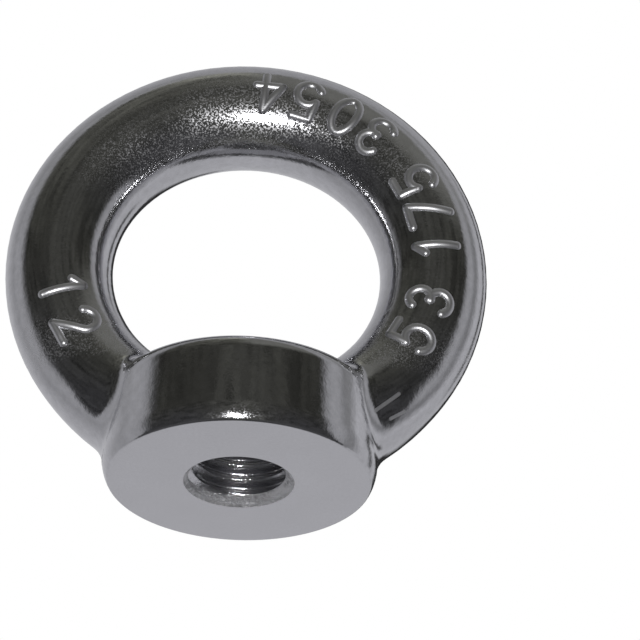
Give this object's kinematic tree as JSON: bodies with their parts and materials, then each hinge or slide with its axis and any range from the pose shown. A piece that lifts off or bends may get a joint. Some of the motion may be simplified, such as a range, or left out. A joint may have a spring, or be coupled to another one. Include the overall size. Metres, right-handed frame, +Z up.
{
  "type": "lifting eye nut",
  "caption": "Lifting eye nut: a round closed eye rising from a short round collar with a tapped hole through its middle.",
  "frame": {"origin": "centre of the thread at the collar's flat base face", "axes": "+Z up along the thread, from the base face to the eye's crown; the eye lies in the XZ plane and opens along Y"},
  "size_m": [0.054, 0.03, 0.053],
  "materials": {
    "polished_steel": "polished"
  },
  "bodies": {
    "root": {"eye_nut": "polished_steel"}
  },
  "joints": []
}
